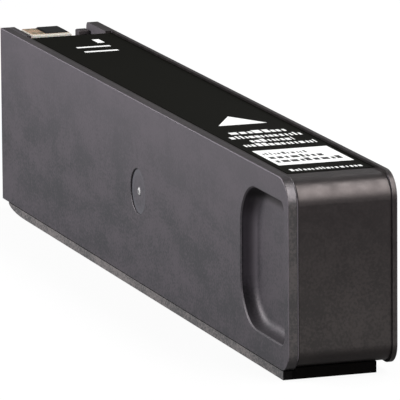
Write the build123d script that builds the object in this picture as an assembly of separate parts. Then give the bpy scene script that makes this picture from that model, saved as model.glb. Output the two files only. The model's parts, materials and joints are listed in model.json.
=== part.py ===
from build123d import *
import os

# Overall size, in millimetres. X is across, Y is along and Z is up.
# The grip end is at -Y, the end that enters the printer is at +Y,
# and Z starts at the underside of the guide rail.
length = 268.0
width = 32.5
wall_height = 54.9

# Walls of the two housing mouldings
wall = 1.5
skin = 2.0
cover_rim = 3.1
lip = 0.75
edge_round = 0.3
rim_chamfer = 0.3
front_top_radius = 7.5
front_bottom_radius = 6.0
rear_top_radius = 1.8
rear_bottom_radius = 1.0
rear_edge_radius = 2.0
fit_gap = 0.1

# Locating tongue that runs round the inside of the cover
tongue_height = 1.6
tongue_thickness = 1.2

# Finger recess, the same in both sides
grip_front = 3.5
grip_length = 36.1
grip_bottom = 7.3
grip_top = 6.9
grip_depth = 4.6
grip_rear_radius = 13.0
grip_front_radius = 2.8
grip_floor_radius = 2.6
grip_mouth_chamfer = 0.4

# Moulding gate in the middle of each side
gate_from_front = 131.0
gate_height = 27.6
gate_diameter = 13.6
gate_depth = 0.5
gate_rim_chamfer = 0.15
gate_nub_diameter = 2.7
gate_nub_top_diameter = 1.3
gate_nub_height = 0.35

# Guide rail under the housing
rail_drop = 2.5
rail_width = 27.8
rail_front = 4.5
rail_rear = 8.0
rail_nose = 16.5
rail_tab_width = 4.0
rail_tab_length = 9.0
rail_tab_count = 4
rail_tab_end_margin = 30.0

# Contact bay, the open notch at the top of the rear end
bay_length = 19.4
bay_depth = 8.0
bay_near_wall = 4.6
bay_far_wall = 3.5
end_wall = 2.2

# Label in the top recess, with its printed fields
film = 0.15
ink_film = 0.05
label_near_margin = 1.65
label_far_margin = 0.15
label_from_front = 13.5
label_from_bay = 0.6
print_shift = -0.1
arrow_base = 14.9
arrow_height = 13.1
arrow_from_front = 87.2
panel_width = 22.5
panel_length = 22.5
panel_from_front = 25.1
bar_height = 3.2
bar_pitch = 6.5
bar_from_front = 54.5
bar_lengths = (20.6, 12.2, 21.2, 16.0)
panel_bar_height = 2.0
panel_bar_pitch = 5.4
panel_bar_inset = 5.4
panel_bar_lengths = (19.6, 15.4, 11.8)
code_bar_height = 1.4
code_bar_from_front = 16.2
code_bar_lengths = (4.6, 3.4, 9.0)
code_bar_gap = 2.2
rear_bar_length = 10.8
rear_bar_height = 1.8
rear_bar_pitch = 8.0
rear_bar_count = 2
rear_bar_from_bay = 31.4
rear_tab_width = 2.2
rear_tab_length = 6.2
rear_tab_shift = 4.6
rear_tab_from_bay = 16.4

# Chip assembly in the contact bay
chip_width = 12.3
chip_length = 11.2
chip_board_thickness = 0.9
chip_near_margin = 2.5
chip_from_bay_front = 6.8
chip_below_lip = 0.6
carrier_border = 0.5
carrier_wall = 1.2
carrier_peg_side = 2.4
carrier_peg_length = 1.2
contact_width = 1.5
contact_length = 3.2
contact_pitch = 2.1
contact_count_across = 2
contact_count_along = 2
contact_thickness = 0.05
contact_margin = 0.7
resin_gap = 0.25
resin_length = 10.2
resin_height = 0.5
resin_chamfer = 0.4
resin_margin = 0.4

# Key block beside the far wall of the contact bay
key_width = 3.5
key_length = 4.0
key_height = 6.0
key_far_gap = 0.4
key_chamfer = 0.3
key_recess_width = 1.9
key_recess_depth = 1.0
key_recess_from_top = 1.2
key_peg_side = 2.0
key_peg_length = 1.2

# Ink outlet, on one axis in the rear end
outlet_height = 20.0
outlet_boss_wall = 2.2
spout_diameter = 9.0
spout_bore = 4.0
spout_flange_thickness = 1.6
spout_flange_width = 12.0
spout_flange_height = 30.0
spout_boat_length = 8.0
septum_diameter = 6.6
septum_length = 3.4
septum_slit_depth = 1.2
septum_slit_length = 3.0
septum_slit_width = 0.2
cap_wall = 1.3
cap_web = 3.0
cap_mouth_diameter = 6.0
cap_skirt = 5.0
cap_recess = 1.0
seal_groove_depth = 1.2
seal_groove_width = 2.0
seal_from_cap = 3.0
seal_clearance = 0.02
fill_port_offset = 10.0
fill_bore = 3.0
fill_plug_length = 6.0

# Datum sockets and air vent in the rear face
socket_diameter = 5.0
socket_depth = 9.0
socket_wall = 1.6
socket_side = 6.5
socket_below_bay = 10.5
slot_length = 8.0
slot_height = 7.4
vent_side = -6.0
vent_bore = 1.6
vent_seat_diameter = 6.4
vent_seat_depth = 0.6
membrane_thickness = 0.25

# Ink pouch and the stiffening sheets bonded to its two flat sides
pouch_side_gap = 0.5
pouch_end_gap = 3.0
pouch_height_gap = 0.7
pouch_seal_thickness = 1.2
pouch_seal_length = 6.0
pouch_shoulder = 26.0
pouch_corner = 5.0
pouch_corner_share = 0.8
pouch_neck_share = 0.8
pouch_front_share = 0.7
sheet_thickness = 0.4
sheet_margin = 6.0
sheet_corner = 4.0

# Levels and planes that follow from the sizes above
half_length = length / 2
half_width = width / 2
base_z = rail_drop
top_z = base_z + wall_height
mid_bottom = base_z + lip
mid_top = top_z - lip
inner_bottom = mid_bottom + skin
inner_top = mid_top - skin
front_y = -half_length
mid_front = front_y + lip
mid_rear = half_length - lip
inner_front = mid_front + skin
cover_x = -half_width + cover_rim
cover_inside = -half_width + wall
far_inside = half_width - wall
bay_front = half_length - bay_length
bay_floor = top_z - bay_depth
near_lining = -half_width + bay_near_wall
far_lining = half_width - bay_far_wall
socket_z = bay_floor - socket_below_bay
block_front = bay_front - wall
outlet_z = base_z + outlet_height
cap_front = mid_rear - cap_recess
spout_end = cap_front - cap_web
cap_diameter = spout_diameter + 2 * cap_wall
boss_front = block_front + wall


def block(x0, x1, y0, y1, z0, z1):
    """Straight box between two corners."""
    middle = Pos((x0 + x1) / 2, (y0 + y1) / 2, (z0 + z1) / 2)
    return middle * Box(x1 - x0, y1 - y0, z1 - z0)


def rod_x(y, z, diameter, x0, x1):
    """Round bar along X."""
    return Pos((x0 + x1) / 2, y, z) * Rot(0, 90, 0) * Cylinder(diameter / 2, x1 - x0)


def cone_x(y, z, diameter_0, diameter_1, x0, x1):
    """Round bar along X that changes from one diameter to another."""
    body = Cone(diameter_0 / 2, diameter_1 / 2, x1 - x0)
    return Pos((x0 + x1) / 2, y, z) * Rot(0, 90, 0) * body


def rod_y(x, z, diameter, y0, y1):
    """Round bar along Y."""
    return Pos(x, (y0 + y1) / 2, z) * Rot(90, 0, 0) * Cylinder(diameter / 2, y1 - y0)


def profile(y0, y1, z0, z1, front_top, front_bottom, rear_top, rear_bottom):
    """Side outline in the YZ plane, with a radius of its own at each corner."""
    face = Plane.YZ * Pos((y0 + y1) / 2, (z0 + z1) / 2) * Rectangle(y1 - y0, z1 - z0)
    corners = (
        (y0, z1, front_top),
        (y0, z0, front_bottom),
        (y1, z1, rear_top),
        (y1, z0, rear_bottom),
    )
    for y, z, radius in corners:
        if radius > 0:
            corner = face.vertices().sort_by_distance(Vector(0, y, z))[0]
            face = fillet(corner, radius)
    return face


def drawn_x(face, x0, x1):
    """Outline in the YZ plane drawn out from x0 to x1."""
    return Pos(x0, 0, 0) * extrude(face, x1 - x0, dir=(1, 0, 0))


def side_outline():
    """Outline of both side walls, which stand proud of the middle all round."""
    return profile(
        front_y, half_length, base_z, top_z,
        front_top_radius, front_bottom_radius, rear_top_radius, rear_bottom_radius,
    )


def inner_outline(gap, rear):
    """Outline of the space inside the top, front and bottom walls, less a gap."""
    inset = lip + skin + gap
    return profile(
        inner_front + gap, rear, inner_bottom + gap, inner_top - gap,
        front_top_radius - inset, front_bottom_radius - inset, 0, 0,
    )


def grip_outline(grow):
    """Outline of the finger recess, grown all round by a wall."""
    start = front_y + grip_front
    low = base_z + grip_bottom
    high = top_z - grip_top
    front_radius = grip_front_radius + grow
    rear_radius = grip_rear_radius + grow
    return profile(
        start - grow, start + grip_length + grow, low - grow, high + grow,
        front_radius, front_radius, rear_radius, rear_radius,
    )


def grip_space():
    """Hollow of the far finger recess, with a rounded floor."""
    space = drawn_x(grip_outline(0), half_width - grip_depth, half_width + grip_depth)
    floor = space.faces().sort_by(Axis.X)[0]
    return fillet(floor.edges(), grip_floor_radius)


def side_wall(gap):
    """Far side wall with its finger recess, its moulding gate and rounded edges."""
    plate = drawn_x(side_outline(), far_inside, half_width)
    plate = fillet(plate.faces().sort_by(Axis.X)[-1].edges(), edge_round)
    boss = drawn_x(grip_outline(wall), half_width - grip_depth - wall, far_inside)
    keep = drawn_x(inner_outline(gap, half_length), half_width - grip_depth - wall, far_inside)
    plate = plate + (boss & keep) - grip_space()
    mouth = plate.faces().sort_by(Axis.X)[-1].inner_wires()[0]
    plate = chamfer(mouth.edges(), grip_mouth_chamfer)
    gate_y = front_y + gate_from_front
    gate_z = base_z + gate_height
    well_floor = half_width - gate_depth
    plate -= rod_x(gate_y, gate_z, gate_diameter, well_floor, half_width)
    rim_wide = gate_diameter + 2 * gate_rim_chamfer
    rim_start = half_width - gate_rim_chamfer
    plate -= cone_x(gate_y, gate_z, gate_diameter, rim_wide, rim_start, half_width)
    nub_end = well_floor + gate_nub_height
    nub = cone_x(gate_y, gate_z, gate_nub_diameter, gate_nub_top_diameter, well_floor, nub_end)
    return plate + nub


def rear_corner():
    """What comes off the rear edge of the far wall to round it, seen from above."""
    x = half_width - rear_edge_radius
    y = half_length - rear_edge_radius
    corner = block(x, half_width, y, half_length, base_z, top_z)
    return corner - Pos(x, y, (base_z + top_z) / 2) * Cylinder(rear_edge_radius, wall_height)


def bay_lining(x0, x1, front):
    """Thicker part of a side wall beside the contact bay, clear of the bay's floor."""
    part = block(x0, x1, front, half_length, bay_floor + fit_gap, top_z)
    return drawn_x(side_outline(), x0, x1) & part


def rail_tabs(grow):
    """Tabs that hold the rail in the bottom wall, grown all round by a gap."""
    start = front_y + rail_front + rail_tab_end_margin
    end = half_length - rail_rear - rail_nose - rail_tab_end_margin
    step = (end - start) / (rail_tab_count - 1)
    middle = -half_width + rail_width / 2
    across = rail_tab_width / 2 + grow
    along = rail_tab_length / 2 + grow
    tabs = []
    for number in range(rail_tab_count):
        y = start + step * number
        tabs.append(block(middle - across, middle + across, y - along, y + along, mid_bottom, inner_bottom))
    return tabs


def housing_shell():
    """Tray moulding: far wall with top, front and bottom walls in one piece."""
    inset_top = front_top_radius - lip
    inset_bottom = front_bottom_radius - lip
    middle = profile(
        mid_front, mid_rear, mid_bottom, mid_top, inset_top, inset_bottom, 0, 0,
    )
    ring = drawn_x(middle, cover_x, far_inside)
    ring -= drawn_x(inner_outline(0, half_length), cover_x, far_inside)
    ring -= block(cover_x, far_lining, bay_front, half_length, bay_floor, top_z)
    for hole in rail_tabs(fit_gap):
        ring -= hole
    lining = bay_lining(far_lining, far_inside, bay_front)
    return ring + side_wall(0) + lining - rear_corner()


def side_cover():
    """Near wall with the rim that lands on the tray and a tongue that enters it."""
    cover = mirror(side_wall(fit_gap), about=Plane.YZ)
    rim = drawn_x(side_outline(), cover_inside, cover_x)
    rim = chamfer(rim.faces().sort_by(Axis.X)[-1].edges(), rim_chamfer)
    rim -= drawn_x(inner_outline(0, mid_rear - end_wall), cover_inside, cover_x)
    tongue_face = inner_outline(fit_gap, block_front - fit_gap)
    hollow_face = inner_outline(fit_gap + tongue_thickness, half_length)
    tongue = drawn_x(tongue_face, cover_inside, cover_x + tongue_height)
    tongue -= drawn_x(hollow_face, cover_inside, cover_x + tongue_height)
    lining = bay_lining(cover_x, near_lining, bay_front + fit_gap)
    taken_off = grip_space() + rear_corner()
    return cover + rim + tongue + lining - mirror(taken_off, about=Plane.YZ)


def guide_rail():
    """Flat runner under the near side, with a rounded nose and a row of tabs."""
    near = -half_width
    far = near + rail_width
    front = front_y + rail_front
    rear = half_length - rail_rear
    low = block(near, far, front, rear, 0, base_z)
    nose_box = block(near, far, rear - rail_nose, rear, 0, base_z)
    nose_face = Plane.YZ * Pos(rear - rail_nose, base_z) * Ellipse(rail_nose, base_z)
    nose = nose_box & drawn_x(nose_face, near, far)
    rail = low - nose_box + nose
    rail += block(cover_x + fit_gap, far, front, rear, base_z, mid_bottom)
    for tab in rail_tabs(0):
        rail += tab
    return rail


def outlet_space():
    """Stepped bore through the end block that takes the spout and its cap."""
    spout_hole = spout_diameter + 2 * fit_gap
    cap_hole = cap_diameter + 2 * fit_gap
    cap_back = spout_end - cap_skirt - fit_gap
    space = rod_y(0, outlet_z, spout_hole, boss_front, mid_rear)
    return space + rod_y(0, outlet_z, cap_hole, cap_back, mid_rear)


def slot_space(grow, depth):
    """Datum slot above the floor of the rear end, grown all round by a wall."""
    face = Plane.XZ * SlotOverall(slot_length + 2 * grow, socket_diameter + 2 * grow)
    start = mid_rear - depth
    return Pos(0, start, base_z + slot_height) * extrude(face, depth, dir=(0, 1, 0))


def end_block():
    """Rear moulding that closes the tray and carries ports, sockets and the bay."""
    near = cover_x
    far = far_inside - fit_gap
    body = block(near, far, block_front, mid_rear, inner_bottom, bay_floor)
    body -= block(
        near + wall, far - wall, block_front, mid_rear - end_wall,
        inner_bottom + wall, bay_floor - wall,
    )
    body += block(near, far, block_front, bay_front, bay_floor, inner_top)
    body += rod_y(0, outlet_z, cap_diameter + 2 * outlet_boss_wall, boss_front, mid_rear)
    back = mid_rear - socket_depth
    boss = socket_diameter + 2 * socket_wall
    body += rod_y(socket_side, socket_z, boss, back - socket_wall, mid_rear)
    body += slot_space(socket_wall, socket_depth + socket_wall)
    body -= outlet_space()
    body -= rod_y(socket_side, socket_z, socket_diameter, back, mid_rear)
    body -= slot_space(0, socket_depth)
    body -= rod_y(vent_side, socket_z, vent_bore, mid_rear - end_wall, mid_rear)
    body -= rod_y(vent_side, socket_z, vent_seat_diameter, mid_rear - vent_seat_depth, mid_rear)
    for x, y, side, depth in peg_places():
        body -= peg(x, y, side + 2 * fit_gap, depth + fit_gap)
    return body


def peg(x, y, side, depth):
    """Square peg that reaches down from the floor of the contact bay."""
    half = side / 2
    return block(x - half, x + half, y - half, y + half, bay_floor - depth, bay_floor)


def chip_corner():
    """Near front corner of the chip board, seen from above."""
    return near_lining + chip_near_margin, bay_front + chip_from_bay_front


def peg_places():
    """Pegs of the chip carrier and the key block: place, side and length."""
    x, y = chip_corner()
    middle = x + chip_width / 2
    inset = carrier_peg_side
    return (
        (middle, y + inset, carrier_peg_side, carrier_peg_length),
        (middle, y + chip_length - inset, carrier_peg_side, carrier_peg_length),
        (key_near() + key_width / 2, key_front() + key_length / 2, key_peg_side, key_peg_length),
    )


def chip_carrier():
    """Hollow platform that holds the chip board up at the level of the label."""
    x, y = chip_corner()
    under = mid_top + chip_below_lip - chip_board_thickness - lip
    seat = under + chip_board_thickness / 2
    near = x - carrier_border
    far = x + chip_width + carrier_border
    front = y - carrier_border
    rear = y + chip_length + carrier_border
    body = block(near, far, front, rear, bay_floor, seat)
    body -= block(
        near + carrier_wall, far - carrier_wall, front + carrier_wall, rear - carrier_wall,
        bay_floor + carrier_wall, under - carrier_wall,
    )
    body -= block(x - fit_gap / 2, x + chip_width + fit_gap / 2, y, y + chip_length, under, seat)
    for place in peg_places()[:2]:
        body += peg(*place)
    return body


def chip_level():
    """Height of the chip board's upper face."""
    return mid_top + chip_below_lip - lip


def chip_board():
    """Small circuit board that lies in the carrier."""
    x, y = chip_corner()
    top = chip_level()
    return block(x, x + chip_width, y, y + chip_length, top - chip_board_thickness, top)


def chip_contacts():
    """Contact pads on the near half of the board."""
    x, y = chip_corner()
    pads = []
    step_y = (chip_length - 2 * contact_margin - contact_length) / (contact_count_along - 1)
    for column in range(contact_count_across):
        for row in range(contact_count_along):
            near = x + contact_margin + column * contact_pitch
            front = y + contact_margin + row * step_y
            top = chip_level() + contact_thickness
            pads.append(block(near, near + contact_width, front, front + contact_length, chip_level(), top))
    return Compound(children=pads)


def chip_resin():
    """Block of resin that covers the chip, from beside the pads to the board's far edge."""
    x, y = chip_corner()
    pads = contact_pitch * (contact_count_across - 1) + contact_width
    near = x + contact_margin + pads + resin_gap
    far = x + chip_width - resin_margin
    middle = y + chip_length / 2
    top = chip_level() + resin_height
    resin = block(
        near, far, middle - resin_length / 2, middle + resin_length / 2,
        chip_level(), top,
    )
    return chamfer(resin.faces().sort_by(Axis.Z)[-1].edges(), resin_chamfer)


def key_near():
    """Near face of the key block."""
    return far_lining - key_far_gap - key_width


def key_front():
    """Front face of the key block."""
    return mid_rear - key_length


def key_block():
    """Block with a recessed front that lets only the right printer bay take the cartridge."""
    near = key_near()
    front = key_front()
    top = bay_floor + key_height
    body = block(near, near + key_width, front, mid_rear, bay_floor, top)
    body = chamfer(body.faces().sort_by(Axis.Z)[-1].edges(), key_chamfer)
    middle = near + key_width / 2
    half = key_recess_width / 2
    recess_top = top - key_recess_from_top
    body -= block(middle - half, middle + half, front, front + key_recess_depth, bay_floor, recess_top)
    return body + peg(*peg_places()[2])


def pouch_spout():
    """Weld boat, flange and stepped tube that lead the ink out of the pouch."""
    flange_back = boss_front
    flange_front = flange_back - spout_flange_thickness
    boat_front = flange_front - spout_boat_length
    half_flange = spout_flange_height / 2
    body = block(
        -spout_flange_width / 2, spout_flange_width / 2, flange_front, flange_back,
        outlet_z - half_flange, outlet_z + half_flange,
    )
    boat = Plane.XZ * Polygon(
        (0, half_flange), (spout_flange_width / 2, 0), (0, -half_flange), (-spout_flange_width / 2, 0),
        align=None,
    )
    body += Pos(0, boat_front, outlet_z) * extrude(boat, spout_boat_length, dir=(0, 1, 0))
    body += rod_y(0, outlet_z, spout_diameter, flange_back, spout_end)
    groove_end = spout_end - cap_skirt - seal_from_cap
    groove = rod_y(0, outlet_z, spout_diameter, groove_end - seal_groove_width, groove_end)
    groove -= rod_y(
        0, outlet_z, spout_diameter - 2 * seal_groove_depth, groove_end - seal_groove_width, groove_end,
    )
    body -= groove
    body -= rod_y(0, outlet_z, spout_bore, boat_front, spout_end)
    body -= rod_y(0, outlet_z, septum_diameter, spout_end - septum_length, spout_end)
    fill_z = outlet_z + fill_port_offset
    body -= rod_y(0, fill_z, fill_bore, boat_front, flange_back)
    return body


def spout_seal():
    """Square-cut rubber ring in the groove of the spout."""
    bore_radius = spout_diameter / 2 + fit_gap
    root_radius = spout_diameter / 2 - seal_groove_depth
    section = bore_radius - root_radius - 2 * seal_clearance
    middle = spout_end - cap_skirt - seal_from_cap - seal_groove_width / 2
    outer = 2 * (bore_radius - seal_clearance)
    inner = 2 * (root_radius + seal_clearance)
    start = middle - section / 2
    return rod_y(0, outlet_z, outer, start, start + section) - rod_y(
        0, outlet_z, inner, start, start + section,
    )


def outlet_septum():
    """Rubber disc with a slit that the printer's needle passes through."""
    disc = rod_y(0, outlet_z, septum_diameter, spout_end - septum_length, spout_end)
    half = septum_slit_length / 2
    half_width_of_slit = septum_slit_width / 2
    return disc - block(
        -half, half, spout_end - septum_slit_depth, spout_end,
        outlet_z - half_width_of_slit, outlet_z + half_width_of_slit,
    )


def septum_cap():
    """Cap pressed over the spout's end, with the mouth that guides the needle."""
    cap = rod_y(0, outlet_z, cap_diameter, spout_end - cap_skirt, cap_front)
    cap -= rod_y(0, outlet_z, spout_diameter, spout_end - cap_skirt, spout_end)
    return cap - rod_y(0, outlet_z, cap_mouth_diameter, spout_end, cap_front)


def fill_plug():
    """Plug pressed into the filling hole of the spout, flush with its flange."""
    start = boss_front - fill_plug_length
    return rod_y(0, outlet_z + fill_port_offset, fill_bore, start, boss_front)


def vent_membrane():
    """Disc that lets air in behind the pouch as the ink is used."""
    seat = mid_rear - vent_seat_depth
    diameter = vent_seat_diameter - fit_gap
    return rod_y(vent_side, socket_z, diameter, seat, seat + membrane_thickness)


def pouch_half_thickness():
    """Half thickness of the full pouch between its stiffening sheets."""
    return far_inside - pouch_side_gap - sheet_thickness


def pouch_planes():
    """Places along Y at which the pouch changes its section."""
    back = boss_front - spout_flange_thickness - spout_boat_length
    front = inner_front + pouch_end_gap
    flat_front = front_y + grip_front + grip_length + wall + pouch_shoulder
    return front, flat_front, back - pouch_shoulder, back


def pouch_section(y, half_thickness, height):
    """Eight-sided section of the pouch at one place along it."""
    corner = min(pouch_corner, half_thickness * pouch_corner_share)
    half = height / 2
    edge = half_thickness - corner
    side = half - corner
    face = Polygon(
        (half_thickness, side), (edge, half), (-edge, half), (-half_thickness, side),
        (-half_thickness, -side), (-edge, -half), (edge, -half), (half_thickness, -side),
        align=None,
    )
    middle_z = (inner_bottom + inner_top) / 2
    return Plane((0, y, middle_z), x_dir=(1, 0, 0), z_dir=(0, 1, 0)) * face


def ink_pouch():
    """Sealed film pouch full of ink, one solid with a flat seal at its front end."""
    front, flat_front, flat_back, back = pouch_planes()
    full = inner_top - inner_bottom - 2 * (pouch_height_gap + tongue_thickness + fit_gap)
    half = pouch_half_thickness()
    beside_grip = half_width - grip_depth - wall - pouch_side_gap
    seal_half = pouch_seal_thickness / 2
    grip_end = front_y + grip_front + grip_length + wall
    stations = (
        (front, seal_half, full),
        (front + pouch_seal_length, seal_half, full),
        (front + pouch_seal_length + pouch_corner, beside_grip * pouch_front_share, full),
        (grip_end, beside_grip, full),
        (flat_front, half, full),
        (flat_back, half, full),
        (back, spout_flange_width / 2, full * pouch_neck_share),
    )
    faces = [pouch_section(*station) for station in stations]
    return loft(faces, ruled=True)


def pouch_sheet(side):
    """Thin stiffening sheet bonded to one flat side of the pouch."""
    front, flat_front, flat_back, back = pouch_planes()
    low = inner_bottom + sheet_margin
    high = inner_top - sheet_margin
    face = profile(
        flat_front, flat_back, low, high, sheet_corner, sheet_corner, sheet_corner, sheet_corner,
    )
    inside = pouch_half_thickness()
    sheet = drawn_x(face, inside, inside + sheet_thickness)
    return sheet if side > 0 else mirror(sheet, about=Plane.YZ)


def label_edges():
    """Near, far, front and rear edges of the label."""
    near = cover_x + label_near_margin
    far = far_inside - label_far_margin
    return near, far, front_y + label_from_front, bay_front - label_from_bay


def label():
    """Film that lies in the recess of the top wall."""
    near, far, front, rear = label_edges()
    return block(near, far, front, rear, mid_top, mid_top + film)


def printed_bar(x, y, bar_length, bar_width):
    """Plain printed bar across the label."""
    low = mid_top + film
    return block(x - bar_length / 2, x + bar_length / 2, y, y + bar_width, low, low + ink_film)


def printed_arrow(x):
    """Triangle that points to the end that enters the printer."""
    base = front_y + arrow_from_front
    low = mid_top + film
    face = Polygon(
        (x - arrow_base / 2, base), (x + arrow_base / 2, base), (x, base + arrow_height), align=None,
    )
    return Pos(0, 0, low) * extrude(face, ink_film, dir=(0, 0, 1))


def printed_panel(x):
    """Pale field with three bars left open in it."""
    start = front_y + panel_from_front
    low = mid_top + film
    half = panel_width / 2
    panel = block(x - half, x + half, start, start + panel_length, low, low + ink_film)
    for number, bar_length in enumerate(panel_bar_lengths):
        y = start + panel_bar_inset + number * panel_bar_pitch
        panel -= printed_bar(x, y, bar_length, panel_bar_height)
    return panel


def label_print():
    """White print on the label: arrow, bars in place of words, and a pale panel."""
    near, far, front, rear = label_edges()
    middle = (near + far) / 2 + print_shift
    fields = [printed_arrow(middle), printed_panel(middle)]
    for number, bar_length in enumerate(bar_lengths):
        y = front_y + bar_from_front + number * bar_pitch
        fields.append(printed_bar(middle, y, bar_length, bar_height))
    total = sum(code_bar_lengths) + code_bar_gap * (len(code_bar_lengths) - 1)
    x = middle - total / 2
    for bar_length in code_bar_lengths:
        y = front_y + code_bar_from_front
        fields.append(printed_bar(x + bar_length / 2, y, bar_length, code_bar_height))
        x += bar_length + code_bar_gap
    for number in range(rear_bar_count):
        y = bay_front - rear_bar_from_bay + number * rear_bar_pitch
        fields.append(printed_bar(middle, y, rear_bar_length, rear_bar_height))
    x = middle + rear_tab_shift
    fields.append(printed_bar(x, bay_front - rear_tab_from_bay, rear_tab_width, rear_tab_length))
    return Compound(children=fields)


def main():
    """Build every piece and write it to its own file."""
    os.makedirs("parts", exist_ok=True)
    pieces = {
        "housing_shell": housing_shell(),
        "side_cover": side_cover(),
        "end_block": end_block(),
        "guide_rail": guide_rail(),
        "label": label(),
        "label_print": label_print(),
        "chip_carrier": chip_carrier(),
        "chip_board": chip_board(),
        "chip_contacts": chip_contacts(),
        "chip_resin": chip_resin(),
        "key_block": key_block(),
        "pouch_spout": pouch_spout(),
        "spout_seal": spout_seal(),
        "outlet_septum": outlet_septum(),
        "septum_cap": septum_cap(),
        "fill_plug": fill_plug(),
        "vent_membrane": vent_membrane(),
        "ink_pouch": ink_pouch(),
        "pouch_sheet_near": pouch_sheet(-1),
        "pouch_sheet_far": pouch_sheet(1),
    }
    for name, piece in pieces.items():
        export_step(piece, f"parts/{name}.step")
        print(name, "volume", round(piece.volume, 1))


main()
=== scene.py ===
# %% [markdown]
# # An ink cartridge in black moulded plastic
#
# This is a long, slim ink cartridge for an office printer: a housing of two
# plastic mouldings, a rail that it slides in on, a label, a chip for the
# printer's pins, and a pouch of ink inside. The solid model of it is already
# finished, with every moulding, port and film at its real size. This script
# gives it its looks. It keeps the solids where they are, finishes their
# surfaces, lays the print on the label, and then sets up a plain white studio
# with the camera at the angle of the reference picture.
#
# ## The frame
#
# Everything is placed around the solid model, so that is loaded first. One
# Blender unit is one metre. X runs across the cartridge, Y along it, with the
# grip end at -Y and the printer end at +Y, and Z is up.

# %% Load the solid model
import json
import math
import random

import bmesh
import bpy
from mathutils import Matrix, Vector


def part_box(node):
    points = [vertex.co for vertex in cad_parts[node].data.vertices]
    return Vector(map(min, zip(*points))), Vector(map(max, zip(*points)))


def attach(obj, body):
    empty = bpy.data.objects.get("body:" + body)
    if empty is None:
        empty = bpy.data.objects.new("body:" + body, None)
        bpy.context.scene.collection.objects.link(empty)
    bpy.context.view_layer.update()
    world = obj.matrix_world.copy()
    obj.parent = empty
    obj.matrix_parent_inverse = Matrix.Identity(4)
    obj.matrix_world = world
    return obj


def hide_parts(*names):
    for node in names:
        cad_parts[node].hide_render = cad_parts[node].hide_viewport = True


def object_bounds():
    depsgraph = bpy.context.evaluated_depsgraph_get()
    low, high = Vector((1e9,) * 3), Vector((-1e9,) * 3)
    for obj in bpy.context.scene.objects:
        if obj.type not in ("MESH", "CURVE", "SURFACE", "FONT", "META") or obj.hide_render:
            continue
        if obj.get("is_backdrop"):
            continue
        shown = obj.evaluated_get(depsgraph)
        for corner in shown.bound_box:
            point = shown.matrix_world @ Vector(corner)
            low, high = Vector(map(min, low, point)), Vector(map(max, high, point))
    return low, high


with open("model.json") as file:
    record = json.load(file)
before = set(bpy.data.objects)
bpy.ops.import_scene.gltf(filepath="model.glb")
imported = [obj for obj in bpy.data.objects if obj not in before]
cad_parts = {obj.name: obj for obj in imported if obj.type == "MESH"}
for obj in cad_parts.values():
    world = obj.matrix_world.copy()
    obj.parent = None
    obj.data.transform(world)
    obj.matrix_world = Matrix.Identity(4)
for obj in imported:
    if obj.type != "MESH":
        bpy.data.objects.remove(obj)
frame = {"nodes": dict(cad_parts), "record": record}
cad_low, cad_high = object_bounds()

MM = 0.001
nodes = frame["nodes"]


def in_mm(lengths):
    """Lengths in metres as rounded millimetres, for the lines that are printed."""
    return [round(length / MM, 2) for length in lengths]


print("loaded", len(nodes), "nodes, size in mm:", in_mm(cad_high - cad_low))


# %% [markdown]
# ## Where things are
#
# The looks depend on a few places: the label with its print, and the recess
# for the finger that pulls the cartridge out. They could be typed in as
# numbers. Read from the loaded pieces and from the model's record instead,
# they follow when a size in the solid model is changed.

# %% Measures read from the model
label_low, label_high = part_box("label")
print_low, print_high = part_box("label_print")
openings = {opening["name"]: opening for opening in frame["record"]["physics"]["openings"]}
recess_low, recess_high = openings["finger_recess_near"]["box_m"]
print("label in mm:", in_mm(label_high - label_low))
print("room for a finger in mm, from", in_mm(recess_low), "to", in_mm(recess_high))


# %% [markdown]
# ## Writing materials as sums
#
# A shader is a graph of nodes. With a line of code for each node, value and
# link, even a simple sum takes a dozen lines, and its meaning is lost in them.
# The class below wraps one output of a node and overloads Python's operators,
# so that `1 - mask * 0.5` adds the two Math nodes that it needs. Any other
# kind of node comes from one method, `node`, which sets the node's own settings
# first and then fills or links its sockets.

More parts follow.
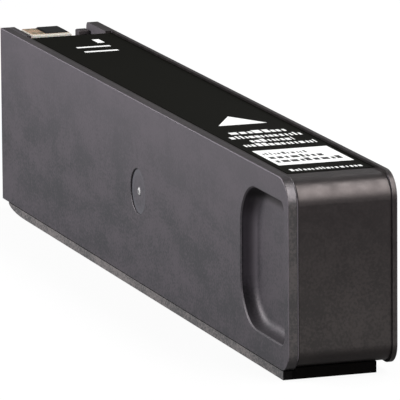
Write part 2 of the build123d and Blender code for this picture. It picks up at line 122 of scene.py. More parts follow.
# %% The socket wrapper
class Wire:
    """One output of a shader node. Arithmetic on it adds Math nodes."""

    def __init__(self, tree, socket=None):
        self.tree = tree
        self.socket = socket

    def node(self, kind, settings=None, sockets=None, output=0):
        """Adds a node: its settings first, then the values or links of its sockets."""
        made = self.tree.nodes.new(kind)
        for name, value in (settings or {}).items():
            setattr(made, name, value)
        for name, value in (sockets or {}).items():
            self.plug(value, made.inputs[name])
        return Wire(self.tree, made.outputs[output])

    def plug(self, value, socket):
        """Links a wire to a socket, or sets the socket to a plain value."""
        if isinstance(value, Wire):
            self.tree.links.new(value.socket, socket)
        else:
            socket.default_value = value

    def math(self, operation, *values):
        """Math node with an operation and its values or wires, in their order."""
        return self.node("ShaderNodeMath", {"operation": operation}, dict(enumerate(values)))

    def __add__(self, other):
        return self.math("ADD", self, other)

    __radd__ = __add__

    def __sub__(self, other):
        return self.math("SUBTRACT", self, other)

    def __rsub__(self, other):
        return self.math("SUBTRACT", other, self)

    def __mul__(self, other):
        return self.math("MULTIPLY", self, other)

    __rmul__ = __mul__

    def __truediv__(self, other):
        return self.math("DIVIDE", self, other)

    def __pow__(self, other):
        return self.math("POWER", self, other)

    def __abs__(self):
        return self.math("ABSOLUTE", self)

    def above(self, level, soft=0.0):
        """1 where this wire is above a level, with a soft edge where one is given."""
        if soft == 0.0:
            return self.math("GREATER_THAN", self, level)
        return self.node(
            "ShaderNodeMapRange", {"interpolation_type": "SMOOTHSTEP"},
            {"Value": self, "From Min": level - soft, "From Max": level + soft},
        )

    def greater(self, other):
        """The larger of two wires at each point."""
        return self.math("MAXIMUM", self, other)

    def part(self, axis):
        """One coordinate of a vector: 0 is X, 1 is Y and 2 is Z."""
        return self.node("ShaderNodeSeparateXYZ", {}, {0: self}, axis)

    def stretched(self, x, y, z):
        """This vector with each coordinate scaled by its own factor."""
        return self.node("ShaderNodeVectorMath", {"operation": "MULTIPLY"}, {0: self, 1: (x, y, z)})

    def noise(self, scale, detail=2.0, rough=0.5):
        """Noise from 0 to 1 at this place, with a scale in waves to the metre."""
        places = {"Vector": self, "Scale": scale, "Detail": detail, "Roughness": rough}
        return self.node("ShaderNodeTexNoise", {}, places)

    def between(self, low, high):
        """Two colours mixed by this wire."""
        return self.node("ShaderNodeMix", {"data_type": "RGBA"}, {0: self, 6: low, 7: high}, 2)

    def bumped(self, strength, height):
        """Normal that follows this wire as a height, with a bump height in millimetres."""
        places = {"Height": self, "Strength": strength, "Distance": height * MM}
        return self.node("ShaderNodeBump", {}, places)


print("socket wrapper ready, with", len(vars(Wire)), "entries")


# %% [markdown]
# ## One recipe for a new material
#
# Real surfaces are uneven: in colour, in gloss and in the fine relief that light catches. A picture laid
# over the model could show that, but it would need the model unwrapped, and it blurs up close. So each
# finish here is worked out. It starts from the Principled shader. What is the same all over goes straight
# onto the shader's sockets. What changes over the surface follows Object coordinates: the pieces all sit at
# the origin, unturned, so the pattern stays where it was made, in every view.

# %% Start a material
PRINCIPLED = "Principled BSDF"


def grey(level, tint=(1.0, 1.0, 1.0)):
    """Colour of one brightness with a slight tint."""
    return (level * tint[0], level * tint[1], level * tint[2], 1.0)


def new_finish(name, constants):
    """Principled material with its constant sockets set, and the place wire to build on."""
    material = bpy.data.materials.new(name)
    material.use_nodes = True
    tree = material.node_tree
    for socket, value in constants.items():
        tree.nodes[PRINCIPLED].inputs[socket].default_value = value
    return material, Wire(tree).node("ShaderNodeTexCoord", output="Object")


def feed(material, place, **wires):
    """Links wires to the Principled shader. Underscores stand for spaces."""
    shader = material.node_tree.nodes[PRINCIPLED]
    for name, wire in wires.items():
        place.plug(wire, shader.inputs[name.replace("_", " ")])
    print("finish", material.name, "has", len(material.node_tree.nodes), "nodes")
    return material


def facing(place, axis, output="Normal"):
    """How squarely the surface faces along one axis, from -1 to 1."""
    return place.node("ShaderNodeNewGeometry", output=output).part(axis)


print("a middle grey is", grey(0.5))


# %% [markdown]
# ## Which way the plastic faces
#
# The two large side faces and the finger recesses come from a spark-eroded
# mould and look matt and grey. The rims and the front come from polished steel
# and are darker and satin. The mouldings could be cut into faces with a
# material each, but the solid model is to stay as it is. So one material does
# it all, and masks say which finish a place has. A mask is 1 where its finish
# lies and 0 elsewhere, with a soft edge between. Two masks multiplied give the
# part that both cover, and the greater of two gives what either covers.
#
# The masks in this cell tell the side faces, the front and the rounded outer edges that get a painted
# highlight, mostly by the direction in which the surface faces. Two more rules come from the place alone:
# the inner faces of the rims beside the label are dark although they face sideways, and the tray's part of
# the front gets darker with the height, as painted shade.

# %% Masks for the side faces, the front and the painted edge highlights
SKIN = 1.0 * MM
RIM_FOOT = label_low.z - 0.5 * MM
FADE_START = 0.25
FADE_RATE = 1.8
EDGE_BAND = 0.6 * MM


def sideways(place):
    """1 where the surface faces along X, and 0 on rims, ends, top and bottom."""
    return abs(facing(place, 0)).above(0.55, soft=0.20)


def inside_rim(place):
    """1 beside the label and further in than the outer skin, where the rims' inner faces are."""
    outer_skin = abs(place.part(0)).above(cad_high.x - SKIN)
    beside = (1 - place.part(1).above(label_high.y)) * place.part(2).above(RIM_FOOT)
    return (1 - outer_skin) * beside


def higher(place):
    """How high a place is, from 0 at the bottom to 1 at the top."""
    return (place.part(2) - cad_low.z) / (cad_high.z - cad_low.z)


def front_face(place, at_grip, on_tray):
    """1 on the front face, painted paler as painted light; less so up the tray's front, as painted shade.
    """
    # Painted shade: the tray's front gets darker towards the top.
    fade = on_tray * (higher(place) - FADE_START) * FADE_RATE
    return (0 - facing(place, 1)).above(0.55, soft=0.35) * at_grip * (1 - fade)


def painted_edge_highlight(place):
    """1 along the rounded outer edges of the side walls, at the top and the front, where a highlight is
    painted.
    """
    across = abs(facing(place, 0))
    rounded = across.above(0.30, soft=0.20) * (1 - across.above(0.93, soft=0.05))
    top = place.part(2).above(cad_high.z - EDGE_BAND)
    front = 1 - place.part(1).above(cad_low.y + EDGE_BAND)
    return rounded * top.greater(front)


# The edge band carries a painted highlight.
print("worn edges end this far in, in mm:", in_mm([EDGE_BAND]))


# %% [markdown]
# ## Zones with painted light and shade
#
# Some zones of the mouldings get painted light or shade because of where they are. In the finger recess the
# wall that faces the grip end is painted lighter where it catches the light, the lower wall is painted
# darker as painted shade, and a strip below the upper edge gets a painted shadow. The lowest strip of the
# tray's front and all that faces down get painted shade, since they get hardly any light. The joint between
# the cover and the tray shows as a thin dark line. The side faces get painted light that makes them a
# little paler towards their upper edge.
#
# Shade like this could be left to the lamps, and part of it is. But the
# picture shows more of it than four lamps give, so these zones get masks too.
# One function works them all out, and the parts that several masks share are
# worked out once.

# %% Masks for the recess, the foot and the joint
RECESS_MARGIN = 5.5 * MM
RECESS_LIP = 0.7 * MM
LIP_SOFTNESS = 0.5 * MM
SHADE_FROM = recess_high[2] + 0.6 * MM
SHADE_SOFTNESS = 1.3 * MM

GRIP_END = cad_low.y + 20.0 * MM
FOOT_TOP = cad_low.z + 8.0 * MM
FOOT_SOFTNESS = 1.5 * MM
JOINT_X = cad_low.x + 3.1 * MM
JOINT_HALF = 0.45 * MM
PALE_FROM = 0.45


def in_recess(place):
    """1 in the finger recesses, which reach past the room for the finger by a margin."""
    y = place.part(1)
    z = place.part(2)
    along = y.above(recess_low[1] - RECESS_MARGIN / 2) * (1 - y.above(recess_high[1] + RECESS_MARGIN))
    lower_end = z.above(recess_low[2] - RECESS_MARGIN)
    upper_end = z.above(recess_high[2] + RECESS_MARGIN)
    return along * lower_end * (1 - upper_end)


def plastic_zones(place):
    """The masks of all zones of the mouldings, by name."""
    height = place.part(2)
    upward = facing(place, 2)
    at_grip = 1 - place.part(1).above(GRIP_END)
    on_tray = place.part(0).above(JOINT_X)
    dished = in_recess(place)
    below_lip = 1 - abs(place.part(0)).above(cad_high.x - RECESS_LIP, soft=LIP_SOFTNESS)
    sunk = dished * below_lip
    turned_forward = (0 - facing(place, 1)).above(0.32, soft=0.30)
    side = (sideways(place) * (1 - inside_rim(place))).greater(dished)
    walls = dished * (1 - sideways(place))
    # Painted shade on the lowest strip of the tray's front.
    foot = at_grip * on_tray * (1 - height.above(FOOT_TOP, soft=FOOT_SOFTNESS))
    on_joint = 1 - abs(place.part(0) - JOINT_X).above(JOINT_HALF)
    return {
        "side": side,
        "front": front_face(place, at_grip, on_tray),
        "recess walls": walls,
        # Painted light on the recess wall that faces the grip end.
        "lit wall": sunk * turned_forward * (1 - upward.above(0.15, soft=0.25)),
        # Painted shade on the recess's lower wall, which faces up.
        "lower wall": walls * upward.above(0.35, soft=0.30),
        "downward": foot.greater((0 - upward).above(0.30, soft=0.28)),
        # Painted light: the side faces grow paler towards their upper edge.
        "upper side": side * (higher(place) - PALE_FROM),
        # Painted shadow in a strip below the recess's upper edge.
        "under edge": sunk * height.above(SHADE_FROM, soft=SHADE_SOFTNESS),
        "joint": on_joint * (1 - side),
        "worn edge": painted_edge_highlight(place),
    }


print("joint between cover and tray at x in mm:", in_mm([JOINT_X]))


# %% [markdown]
# ## Mottling and the moulding gate
#
# Up close the grey of the plastic is not even. Soft patches lean to a cold and
# to a warm grey, thin upright streaks cross them, left by the flow of the
# plastic and by handling, and a fine grain lies over both. Three noises of
# different scales, added up, give all of that at once. One noise alone would
# look like fog or like sand.
#
# Near the middle of each side face is the round scar of the gate, through which the plastic was let into
# the mould: a shallow disc with the cut end of the feed in the middle. The disc's step is in the solid
# model. Its colour follows the distance from the gate's axis: the disc is a little paler, with a painted
# highlight at its rim and a painted highlight ring round the feed's end.

# %% Mottled greys and the gate's scar
GATE_Y = cad_low.y + 131.0 * MM
GATE_Z = cad_low.z + 30.1 * MM
GATE_RADIUS = 6.8 * MM
GATE_RIM = 0.80 * GATE_RADIUS
GATE_RIM_SOFTNESS = 0.20 * GATE_RADIUS
DISC_STRENGTH = 0.20
RIM_HIGHLIGHT_STRENGTH = 0.50
NUB_RADIUS = 1.15 * MM
NUB_SOFTNESS = 0.15 * MM
NUB_HOLE_RADIUS = 0.55 * MM
NUB_HOLE_SOFTNESS = 0.1 * MM
NUB_HIGHLIGHT_COLOUR = grey(0.60)


def mottling(place):
    """Patches, upright streaks and grain in one wire from 0 to 1."""
    patches = place.stretched(1.0, 0.40, 1.0).noise(110.0, 5.0, 0.62)
    streaks = place.stretched(1.0, 0.6, 0.25).noise(500.0, 3.0, 0.6)
    grain = place.noise(1300.0, 2.0)
    return (patches * 0.40 + streaks * 0.14 + grain * 0.46).above(0.5, soft=0.075)


def mottled(mottle, level, spread, tints):
    """Grey around a level, from its darkest share in one tint to its palest in the other."""
    darkest, palest = spread
    dark_tint, pale_tint = tints
    return mottle.between(grey(level * darkest, dark_tint), grey(level * palest, pale_tint))


def gate_scar(place, colour, side, pale):
    """The colour with the pale disc of the gate on it, a painted highlight at its rim, and a painted
    highlight ring round the feed's end.
    """
    y = place.part(1) - GATE_Y
    z = place.part(2) - GATE_Z
    distance = (y * y + z * z) ** 0.5
    disc = (1 - distance.above(GATE_RADIUS)) * side
    # Painted highlight at the disc's rim.
    rim = distance.above(GATE_RIM, soft=GATE_RIM_SOFTNESS)
    colour = (disc * (DISC_STRENGTH + rim * RIM_HIGHLIGHT_STRENGTH)).between(colour, pale)
    inside = 1 - distance.above(NUB_RADIUS, soft=NUB_SOFTNESS)
    # Painted highlight ring round the feed's end.
    ring = inside * distance.above(NUB_HOLE_RADIUS, soft=NUB_HOLE_SOFTNESS)
    return ring.between(colour, NUB_HIGHLIGHT_COLOUR)


print("moulding gate in mm along and up:", in_mm([GATE_Y, GATE_Z]))


# %% [markdown]
# ## Black moulded plastic
#
# The material of the housing puts these parts together. The mottled greys of
# the side, the rims and the front are chosen by their masks. Then each zone is
# laid over them as a layer: its mask, how strongly it shows, and its colour.
# The order counts, because a later layer covers an earlier one. Last comes the
# gloss, which is uneven only on the satin places, and a fine relief that is
# strongest on the matt ones.
#
# The cover, the tray, the end block, the rail and the key block are all made
# of such plastic, so one function makes their materials from a few levels.

# %% The housing plastic
VIOLET_SHEEN = (1.0, 0.915, 0.965, 1.0)
BROWN_SHEEN = (1.0, 0.87, 0.85, 1.0)
VIOLET_GREYS = ((0.95, 0.99, 1.13), (1.08, 0.955, 1.12))
PLAIN_GREYS = ((1.0, 0.985, 1.02), (1.07, 0.98, 0.98))
RIM_GREYS = ((1.08, 0.94, 1.06), (1.12, 0.94, 1.0))
FRONT_GREYS = ((1.01, 0.98, 0.97), (1.09, 0.97, 0.94))
MATT_SPREAD = (0.70, 1.30)
SATIN_SPREAD = (0.72, 1.25)
# The front is painted paler than the rims of the same plastic, as painted light.
FRONT_GAIN = 3.2
MATT_ROUGHNESS = 0.52
SMEAR_ROUGHNESS = 0.36
RECESSED_ROUGHNESS = 0.4
RELIEF = 0.05


def moulded_plastic(name, matt, satin, gloss_roughness, shine, sheen, greys=VIOLET_GREYS, scarred=False):
    """Plastic with matt side faces and satin rims, from the brightness of both."""
    material, place = new_finish(name, {"Specular IOR Level": shine, "Specular Tint": sheen})
    zone = plastic_zones(place)
    side = zone["side"]
    mottle = mottling(place)
    rims = mottled(mottle, satin, SATIN_SPREAD, RIM_GREYS)
    # Painted light on the front face.
    front = mottled(mottle, satin * FRONT_GAIN, SATIN_SPREAD, FRONT_GREYS)
    colour = side.between(zone["front"].between(rims, front), mottled(mottle, matt, MATT_SPREAD, greys))

    # Each layer has its mask, how strongly it shows, and its colour.
    cold, warm = greys
    painted_light = grey(matt * 3.2, warm)
    layers = (
        # Painted light on the recess wall that faces the grip end.
        ("lit wall", 0.9, painted_light),
        # Painted shade on the recess's lower wall.
        ("lower wall", 0.6, grey(matt * 0.6, warm)),
        # Painted shade on the foot of the tray's front and on all that faces down.
        ("downward", 0.8, grey(satin * 0.2)),
        # Painted light that makes the side faces paler towards the top.
        ("upper side", 1.0, grey(matt * 2.0, warm)),
        # Painted shadow below the recess's upper edge.
        ("under edge", 0.85, grey(matt * 0.1)),
        ("joint", 0.8, grey(0.001)),
    )
    for layer, strength, shade in layers:
        colour = (zone[layer] * strength).between(colour, shade)
    if scarred:
        colour = gate_scar(place, colour, side, grey(matt * 2.3, cold))
    # Painted highlight along the rounded outer edges of the side walls.
    colour = (zone["worn edge"] * 0.8).between(colour, painted_light)

    smears = (place.noise(260.0, 4.0, 0.6) - 0.5) * SMEAR_ROUGHNESS * (1 - side)
    dull = zone["recess walls"].greater(zone["under edge"]) + zone["joint"]
    rough = gloss_roughness + side * (MATT_ROUGHNESS - gloss_roughness) + smears + dull * RECESSED_ROUGHNESS
    pores = place.noise(3600.0, 1.0)
    ripple = place.noise(1500.0, 2.0)
    relief = (pores * 0.8 + ripple * 0.2) * (0.25 + side * 0.75)
    return feed(
        material, place,
        Base_Color=colour, Roughness=rough, Normal=relief.bumped(0.4, RELIEF),
    )


print("the side's brightness varies from", MATT_SPREAD[0], "to", MATT_SPREAD[1], "times its level")


# %% [markdown]
# ## Label film and print
#
# The label is a thin matt film, printed black all over, so it hides the gloss
# of the plastic. Its black is deeper than the housing. The white print lies on
# it as a second, very thin layer. Both could be plain colours, but even a film
# waves a little and ink never covers quite evenly, and a trace of noise in the
# colour, the roughness and the relief is enough to show it.

# %% The label's two finishes
FILM_BLACK = (grey(0.0030, (1.05, 1.05, 0.70)), grey(0.0044, (1.05, 1.03, 0.74)))


def label_film():
    """Matt black film with faint long waves."""
    material, place = new_finish("matt_label_film", {"Specular IOR Level": 0.02})
    waves = place.stretched(1.0, 0.4, 1.0).noise(60.0, 2.0)
    grain = place.noise(4200.0, 1.0)
    return feed(
        material, place,
        Base_Color=waves.between(*FILM_BLACK), Roughness=0.64 + grain * 0.1,
        Normal=(waves * 0.9 + grain * 0.1).bumped(0.2, 0.03),
    )


def printed_ink(name, level, tint):
    """Opaque ink with slightly uneven cover."""
    material, place = new_finish(name, {"Specular IOR Level": 0.2})
    cover = place.noise(900.0, 2.0)
    colour = cover.between(grey(level * 0.95, tint), grey(level * 1.05, tint))
    return feed(
        material, place,
        Base_Color=colour, Roughness=0.5 + cover * 0.12, Normal=cover.bumped(0.1, 0.01),
    )


print("the film's black is", FILM_BLACK[0][:3])


# %% [markdown]
# ## The chip's finishes
#
# The chip is a small circuit board. Its cut edges show the pale resin and
# glass of the board itself, its top is a dark lacquer, its pads are gilded and
# finely scratched by the printer's pins, and a drop of black resin covers the
# silicon. Board, pads and resin are pieces of their own in the solid model, so
# each gets its own material. Only the board has two looks, and a mask tells
# its cut edges from its top by the direction in which the surface faces.

# %% Board, pads and resin
BOARD_LAYERS = (grey(0.60, (1.06, 0.98, 0.84)), grey(0.88, (1.03, 1.0, 0.92)))
BOARD_LACQUER = (grey(0.16, (1.5, 0.95, 0.62)), grey(0.27, (1.45, 0.96, 0.66)))
GILDING = (grey(0.80, (1.1, 0.88, 0.56)), grey(0.95, (1.02, 0.92, 0.68)))
RESIN_BLACK = (grey(0.006), grey(0.014, (0.95, 1.0, 1.08)))


def circuit_board():
    """Dark lacquer on top and pale layered edges."""
    material, place = new_finish("circuit_board", {"Specular IOR Level": 0.5})
    weave = place.noise(1800.0, 2.0)
    layers = place.stretched(0.0, 0.0, 1.0).noise(5200.0, 1.0)
    edge = (layers * 0.6 + weave * 0.4).between(*BOARD_LAYERS)
    upward = abs(facing(place, 2, "True Normal")).above(0.7, soft=0.1)
    return feed(
        material, place,
        Base_Color=upward.between(edge, weave.between(*BOARD_LACQUER)), Roughness=0.42 + weave * 0.2,
        Normal=weave.bumped(0.15, 0.02),
    )


def gilded_pad():
    """Gold plated contact with fine scratches along the way it slides in."""
    material, place = new_finish("gilded_pad", {"Metallic": 1.0, "Specular IOR Level": 0.5})
    scratches = place.stretched(1.0, 0.06, 1.0).noise(6000.0, 2.0)
    return feed(
        material, place,
        Base_Color=scratches.between(*GILDING), Roughness=0.22 + scratches * 0.22,
        Normal=scratches.bumped(0.2, 0.01),
    )


def cured_resin():
    """Glossy black drop of resin with a slow swell."""
    material, place = new_finish("cured_resin", {"Specular IOR Level": 0.04, "Coat Weight": 0.02})
    swell = place.noise(260.0, 2.0)
    return feed(
        material, place,
        Base_Color=swell.between(*RESIN_BLACK), Roughness=0.24 + swell * 0.14,
        Normal=swell.bumped(0.4, 0.06),
    )


print("the gilding is between", GILDING[0][:3], "and", GILDING[1][:3])


# %% [markdown]
# ## Finishes of the pieces at the printer end and inside
#
# The spout and its plug are natural polyethylene, milky and waxy. The seals
# are rubber: soft, dull and dusted. The vent disc is a white membrane with a
# fibrous face. The pouch is aluminised film, which is bright and creased, and
# its stiffening sheets are clear grey plastic. The housing hides most of them,
# so a plain colour would do for this picture. They still get the finish of the
# real material, because each piece of the model can also be shown by itself.

# %% Waxy plastic, rubber, membrane and pouch film
RUBBER_BLACK = (grey(0.022), grey(0.050, (1.02, 1.0, 0.97)))
FLEECE_WHITE = (grey(0.62), grey(0.86))
FILM_SILVER = (grey(0.52), grey(0.78, (1.0, 1.0, 1.02)))
WAX = {"Subsurface Weight": 0.12, "Subsurface Scale": 0.002, "Specular IOR Level": 0.45}


def waxy_plastic(name, level, tint):
    """Milky plastic with soft clouds."""
    material, place = new_finish(name, WAX)
    clouds = place.noise(220.0, 3.0)
    fine = place.noise(2600.0, 1.0)
    return feed(
        material, place,
        Base_Color=clouds.between(grey(level * 0.88, tint), grey(level, tint)),
        Roughness=0.40 + fine * 0.14, Normal=fine.bumped(0.15, 0.02),
    )


def soft_rubber():
    """Dark rubber with a dull dusty face."""
    material, place = new_finish("seal_rubber", {"Specular IOR Level": 0.35})
    dust = place.noise(700.0, 4.0, 0.65)
    return feed(
        material, place,
        Base_Color=dust.above(0.56, soft=0.14).between(*RUBBER_BLACK),
        Roughness=0.62 + dust * 0.2, Normal=dust.bumped(0.3, 0.03),
    )


def vent_fleece():
    """White membrane of pressed fibres."""
    material, place = new_finish("vent_fleece", {"Specular IOR Level": 0.2})
    fibres = place.stretched(1.0, 1.0, 0.3).noise(2600.0, 4.0, 0.7)
    return feed(
        material, place,
        Base_Color=fibres.between(*FLEECE_WHITE), Roughness=0.78 + fibres * 0.15,
        Normal=fibres.bumped(0.5, 0.05),
    )


def aluminised_film():
    """Bright metal film with long creases and a fine crackle."""
    material, place = new_finish("aluminised_film", {"Specular IOR Level": 0.5})
    creases = place.stretched(1.0, 0.35, 1.0).noise(90.0, 4.0, 0.6)
    cells = {"Vector": place, "Scale": 260.0}
    crackle = place.node("ShaderNodeTexVoronoi", {"feature": "DISTANCE_TO_EDGE"}, cells)
    return feed(
        material, place,
        Base_Color=creases.between(*FILM_SILVER), Metallic=0.86 + creases * 0.1,
        Roughness=0.20 + creases * 0.22, Normal=(creases * 0.8 + crackle * 0.2).bumped(0.6, 0.5),
    )


print("the rubber is between", RUBBER_BLACK[0][0], "and", RUBBER_BLACK[1][0])


# %% [markdown]
# ## Hand out the finishes
#
# The solid model names a material slot for each kind of piece. The finishes
# could be assigned piece by piece, but by slot a new piece of a known kind is
# dressed without a change here. The finishes are made once, under the slots'
# names, and each node's own slot is given the one that belongs to it. The
# meshes stay as they are.
#
# The levels were set against the picture. The tray's satin places are darker than the cover's. The rail is
# the palest of the mouldings on its sides, and elsewhere it is painted almost black as painted shade.

# %% Make the finishes and dress the nodes
finishes = {
    "cover_plastic": moulded_plastic(
        "cover_plastic_finish", matt=0.055, satin=0.022,
        gloss_roughness=0.35, shine=0.85, sheen=VIOLET_SHEEN, scarred=True,
    ),
    "tray_plastic": moulded_plastic(
        "tray_plastic_finish", matt=0.055, satin=0.011,
        gloss_roughness=0.38, shine=0.76, sheen=BROWN_SHEEN, scarred=True,
    ),
    "end_plastic": moulded_plastic(
        "end_plastic_finish", matt=0.040, satin=0.024,
        gloss_roughness=0.42, shine=0.4, sheen=BROWN_SHEEN,
    ),
    # The rail's faces other than its sides are painted almost black, as painted shade.
    "rail_plastic": moulded_plastic(
        "rail_plastic_finish", matt=0.165, satin=0.002,
        gloss_roughness=0.45, shine=0.06, sheen=BROWN_SHEEN, greys=PLAIN_GREYS,
    ),
    "key_plastic": moulded_plastic(
        "key_plastic_finish", matt=0.040, satin=0.028,
        gloss_roughness=0.42, shine=0.4, sheen=BROWN_SHEEN,
    ),
    "carrier_plastic": waxy_plastic("carrier_plastic_finish", 0.70, (1.02, 0.99, 0.92)),
    "cap_plastic": waxy_plastic("cap_plastic_finish", 0.42, (0.98, 1.0, 1.02)),
    "spout_plastic": waxy_plastic("spout_plastic_finish", 0.66, (1.0, 1.0, 0.97)),
    "sheet_plastic": waxy_plastic("sheet_plastic_finish", 0.34, (0.97, 1.0, 1.03)),
    "label_film": label_film(),
    "print_white": printed_ink("white_label_ink", 0.90, (1.0, 1.0, 0.99)),
    "board": circuit_board(),
    "contact_metal": gilded_pad(),
    "resin": cured_resin(),
    "rubber": soft_rubber(),
    "membrane": vent_fleece(),
    "pouch_film": aluminised_film(),
}

for piece in nodes.values():
    slot = piece.data.materials[0].name
    piece.data.materials[0] = finishes[slot]
print("dressed", len(nodes), "nodes in", len(finishes), "finishes")


# %% [markdown]
# ## The print on the label
#
# The white print of the real label is a thin layer of ink: an arrow that shows
# which way the cartridge goes in, a pale panel, and fine rows. The solid model
# has them as plain bars. Here they get a finer form: in the place of each bar
# lies a row of small blocks with uneven widths and gaps, and the panel has
# three rows of dark blocks on it. The rows say nothing.
#
# The print could be a mask in the label's material. As pieces of their own the
# blocks keep sharp edges at any distance, and they can be swapped for another
# print. Each is a thin flat box, so one function makes them all. The widths
# come from a seeded source, so each run gives the same rows.

# %% Blocks and rows of print
BLOCK_WIDTHS = (1.0, 1.0, 1.6, 2.2)
BLOCK_HEIGHTS = (0.7, 0.7, 0.7, 1.0)
GAPS_MM = (0.5, 0.75)
ROW_START = label_low.x + 2.3 * MM
chance = random.Random(17)


def flat_block(build, *spans):
    """Straight block that fills a span of X, one of Y and one of Z."""
    middle = Matrix.Translation([(start + end) / 2 for start, end in spans])
    size = Matrix.Diagonal([end - start for start, end in spans] + [1.0])
    bmesh.ops.create_cube(build, size=1.0, matrix=middle @ size)


def row_of_blocks(build, row, layer):
    """Row of small blocks on one line, each one to about two strokes wide, with small gaps."""
    from_front, indent, length, height, stroke = [value * MM for value in row]
    base = label_low.y + from_front - height / 2
    x = ROW_START + indent
    end = x + length
    while x < end:
        wide = chance.choice(BLOCK_WIDTHS) * stroke
        tall = chance.choice(BLOCK_HEIGHTS) * height
        flat_block(build, (x, min(x + wide, end)), (base, base + tall), layer)
        x += wide + chance.choice(GAPS_MM) * MM


def finished_piece(name, build, finish):
    """Turns the blocks into a piece that rides on the cartridge and takes a finish."""
    mesh = bpy.data.meshes.new(name)
    build.to_mesh(mesh)
    build.free()
    piece = bpy.data.objects.new(name, mesh)
    bpy.context.scene.collection.objects.link(piece)
    mesh.materials.append(finish)
    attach(piece, "root")
    print("piece", name, "has", len(mesh.polygons), "faces")
    return piece


print("rows of print start at x in mm:", in_mm([ROW_START]))


# %% [markdown]
# ## White ink and dark ink
#
# The white print lies straight on the film, and the dark rows lie on the white
# panel. On the real label that is the film's own black, left free of white.
# Modelled as thin blocks on top of the panel it looks the same and needs no
# holes cut. Each row is given by five measures in millimetres: the distance of
# its middle from the front of the label, its indent from the near side, its
# length, the height of its blocks and the width of one stroke.

# %% White and dark print
INK = 0.05 * MM
DARK_INK = 0.01 * MM

WHITE_ROWS = (
    (61.8, 2.2, 17.0, 4.2, 1.1),
    (55.0, 0.0, 21.6, 4.2, 0.6),
    (48.6, 4.0, 13.0, 4.2, 0.6),
    (42.6, 0.0, 21.6, 4.2, 0.6),
    (3.9, 0.0, 21.6, 2.8, 0.45),
)
DARK_ROWS = (
    (28.6, 0.6, 13.0, 3.2, 0.45),
    (23.2, 0.6, 16.0, 4.2, 1.0),
    (17.6, 0.6, 19.6, 4.2, 1.0),
)

ARROW_BASE = label_low.y + 73.7 * MM
ARROW_WIDTH = 14.9 * MM
ARROW_LENGTH = 13.1 * MM
PANEL_FRONT = label_low.y + 11.6 * MM
PANEL_LENGTH = 22.5 * MM
BAR_FRONTS = (label_low.y + 203.7 * MM, label_low.y + 211.7 * MM)
BAR_WIDTH = 10.8 * MM
BAR_LENGTH = 1.8 * MM
TAB_OFFSET = 4.6 * MM
TAB_WIDTH = 2.2 * MM
TAB_LENGTH = 6.2 * MM


def arrow_block(build, middle, layer):
    """Flat triangle that points to the printer end."""
    low, high = layer
    left = (middle - ARROW_WIDTH / 2, ARROW_BASE, low)
    right = (middle + ARROW_WIDTH / 2, ARROW_BASE, low)
    tip = (middle, ARROW_BASE + ARROW_LENGTH, low)
    face = build.faces.new([build.verts.new(corner) for corner in (left, right, tip)])
    raised = bmesh.ops.extrude_face_region(build, geom=[face])["geom"]
    moved = [item for item in raised if isinstance(item, bmesh.types.BMVert)]
    bmesh.ops.translate(build, vec=(0.0, 0.0, high - low), verts=moved)
    bmesh.ops.recalc_face_normals(build, faces=build.faces)


def centred(middle, width):
    """Span of a width around a middle."""
    return (middle - width / 2, middle + width / 2)


def white_print():
    """Arrow, five rows, the panel, and two bars and a tab near the printer end."""
    build = bmesh.new()
    layer = (label_high.z, label_high.z + INK)
    middle = (print_low.x + print_high.x) / 2
    arrow_block(build, middle, layer)
    for row in WHITE_ROWS:
        row_of_blocks(build, row, layer)
    flat_block(build, (print_low.x, print_high.x), (PANEL_FRONT, PANEL_FRONT + PANEL_LENGTH), layer)
    for front in BAR_FRONTS:
        flat_block(build, centred(middle, BAR_WIDTH), (front, front + BAR_LENGTH), layer)
    tab = centred(middle + TAB_OFFSET, TAB_WIDTH)
    flat_block(build, tab, (print_high.y - TAB_LENGTH, print_high.y), layer)
    piece = finished_piece("white_print", build, finishes["print_white"])
    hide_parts("label_print")


def dark_print():
    """Three rows of dark blocks on the pale panel."""
    build = bmesh.new()
    layer = (label_high.z + INK, label_high.z + INK + DARK_INK)
    for row in DARK_ROWS:
        row_of_blocks(build, row, layer)
    finish = printed_ink("dark_label_ink", 0.012, (1.0, 1.0, 1.0))
    finished_piece("dark_print", build, finish)


white_print()
dark_print()


# %% [markdown]
# ## The studio
#
# The picture shows the cartridge on plain white. A real studio has a sweep of
# paper that curves up behind it. A flat white floor is enough here, since the
# camera looks down on it a little, and the world behind is white as well. The
# floor is two things at once: a diffuse sheet that takes the shadow and throws
# soft light back up, and a white glow for the camera and, faintly, for
# reflections. Light Path tells the kinds of ray apart, and a Mix Shader mixes
# the two so that the shadow stays faintly visible.

# %% Floor and world
FLOOR_SIZE = 8.0
FLOOR_GAP = 0.2 * MM
FLOOR_GLOW = 0.92
MIRRORED_GLOW = 0.08
WHITE_CARD = grey(0.90)
BOUNCE_CARD = grey(0.16)
ROOM_GREY = grey(0.15)
WHITE = grey(1.0)


def ray_kind(tree, kind):
    """1 for rays of one kind, and 0 for all others."""
    return Wire(tree).node("ShaderNodeLightPath", output=kind)


def studio_white():
    """Sheet that is white to the camera, glows a little in reflections and takes a shadow."""
    material = bpy.data.materials.new("studio_white")
    material.use_nodes = True
    tree = material.node_tree
    tree.nodes.remove(tree.nodes[PRINCIPLED])
    seen = ray_kind(tree, "Is Camera Ray")
    mirrored = ray_kind(tree, "Is Glossy Ray").greater(ray_kind(tree, "Is Transmission Ray"))
    card = seen.between(BOUNCE_CARD, WHITE_CARD)
    sheet = seen.node("ShaderNodeBsdfDiffuse", {}, {"Color": card})
    glow = seen.node("ShaderNodeEmission", {}, {"Color": WHITE, "Strength": 1.0})
    share = (seen * FLOOR_GLOW).greater(mirrored * MIRRORED_GLOW)
    mixed = seen.node("ShaderNodeMixShader", {}, {0: share, 1: sheet, 2: glow})
    seen.plug(mixed, tree.nodes["Material Output"].inputs["Surface"])
    return material


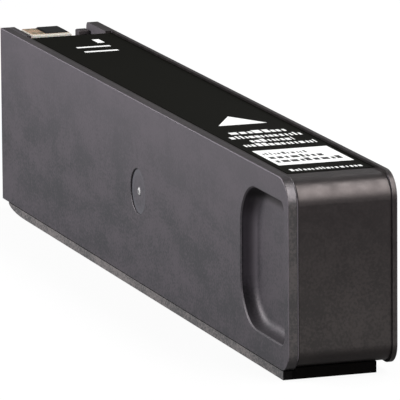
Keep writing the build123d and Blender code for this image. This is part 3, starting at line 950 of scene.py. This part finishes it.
def white_floor():
    """Flat floor just below the cartridge."""
    mesh = bpy.data.meshes.new("studio_floor")
    build = bmesh.new()
    below = Matrix.Translation((0.0, 0.0, cad_low.z - FLOOR_GAP))
    bmesh.ops.create_grid(build, x_segments=1, y_segments=1, size=FLOOR_SIZE / 2, matrix=below)
    build.to_mesh(mesh)
    build.free()
    floor = bpy.data.objects.new("studio_floor", mesh)
    bpy.context.scene.collection.objects.link(floor)
    mesh.materials.append(studio_white())
    floor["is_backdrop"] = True


def pale_world():
    """White behind everything for the camera, and a dim plain room for all other rays."""
    world = bpy.data.worlds.new("studio_world")
    world.use_nodes = True
    tree = world.node_tree
    seen = ray_kind(tree, "Is Camera Ray").greater(ray_kind(tree, "Is Transmission Ray"))
    seen.plug(seen.between(ROOM_GREY, WHITE), tree.nodes["Background"].inputs["Color"])
    bpy.context.scene.world = world


white_floor()
pale_world()
print("floor of", FLOOR_SIZE, "m and world made")


# %% [markdown]
# ## Light
#
# Black plastic shows its form by what it mirrors, so soft lamps with a size
# matter more than strong ones. Four area lamps stand round the cartridge. The
# overhead strip is mirrored in the rounded top edge of the front and draws the
# broad satin band there. The softbox at the left lights the long side wall,
# and the larger one, behind at the right, lights the far rims and the far
# side. A weak fill stands before the front, so that it isn't flat black below
# the band. They could be point lamps, but those would leave hard small dots on
# the satin.

# %% Lamps
ALONG_X = Vector((1.0, 0.0, 0.0))
ALONG_Y = Vector((0.0, 1.0, 0.0))
front_top = Vector((0.0, cad_low.y, cad_high.z))


def soft_lamp(name, place, aim, along, size, power):
    """Area lamp that looks at a point, with its length as near to one direction as that allows."""
    data = bpy.data.lights.new(name, "AREA")
    data.shape = "RECTANGLE"
    data.size, data.size_y = size
    data.energy = power
    back = (Vector(place) - Vector(aim)).normalized()
    right = (along - back * back.dot(along)).normalized()
    turn = Matrix((right, back.cross(right), back)).transposed().to_4x4()
    lamp = bpy.data.objects.new(name, data)
    lamp.visible_camera = False
    lamp.matrix_world = Matrix.Translation(place) @ turn
    bpy.context.scene.collection.objects.link(lamp)
    print("lamp", name, "of", power, "W")


soft_lamp("overhead_strip", (0.32, -0.74, 0.81), front_top, ALONG_Y, (1.70, 0.28), 13.0)
soft_lamp("left_softbox", (-0.50, 0.16, 0.30), (0.0, 0.05, 0.04), ALONG_Y, (0.60, 0.20), 4.0)
soft_lamp("right_softbox", (0.75, 0.55, 0.44), (0.0, 0.0, 0.03), ALONG_Y, (0.60, 0.50), 6.0)
soft_lamp("front_fill", (0.75, -1.30, 0.45), (0.0, -0.10, 0.03), ALONG_X, (0.80, 0.80), 0.5)


# %% [markdown]
# ## Camera
#
# The camera was worked out from the corners of the cartridge in the picture.
# It stands to the left of the grip end and a little above it, about 1.75 m
# away with a very long lens, and it is rolled by less than a degree. A nearer
# camera with a shorter lens would fill the picture as well, but then the far
# end would look much smaller than it does. The camera looks at a point just
# outside the cartridge, which puts the picture's centre where it has to be
# without any lens shift.

# %% Camera
AZIMUTH = math.radians(-19.028)
ELEVATION = math.radians(11.406)
ROLL = math.radians(-0.427)
DISTANCE = 1.74764
LENS = 567.46
SENSOR = 36.0
NEAREST = 0.05
FARTHEST = 20.0
AIM = Vector((-0.037788, -0.122012, 0.051456))


def photo_camera():
    """Camera that looks at the aim point from an azimuth and an elevation."""
    level = math.cos(ELEVATION)
    back = Vector((math.sin(AZIMUTH) * level, -math.cos(AZIMUTH) * level, math.sin(ELEVATION)))
    right = Vector((math.cos(AZIMUTH), math.sin(AZIMUTH), 0.0))
    up = back.cross(right)
    rolled_right = right * math.cos(ROLL) + up * math.sin(ROLL)
    rolled_up = up * math.cos(ROLL) - right * math.sin(ROLL)
    data = bpy.data.cameras.new("photo_camera")
    data.sensor_width = SENSOR
    data.lens = LENS
    data.clip_start = NEAREST
    data.clip_end = FARTHEST
    camera = bpy.data.objects.new("photo_camera", data)
    turn = Matrix((rolled_right, rolled_up, back)).transposed().to_4x4()
    camera.matrix_world = Matrix.Translation(AIM + back * DISTANCE) @ turn
    bpy.context.scene.collection.objects.link(camera)
    bpy.context.scene.camera = camera


photo_camera()
bpy.context.scene.view_settings.view_transform = "Standard"
print("camera placed at mm:", in_mm(bpy.context.scene.camera.matrix_world.translation))


# %% [markdown]
# ## The size when dressed
#
# The dressed cartridge has to stay inside the box of the solid model, because other parts are placed by
# that box. A look at the picture wouldn't show a tenth of a millimetre, so both boxes are measured and
# their sizes printed.

dressed_low, dressed_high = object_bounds()
print("dressed size in mm:", in_mm(dressed_high - dressed_low))
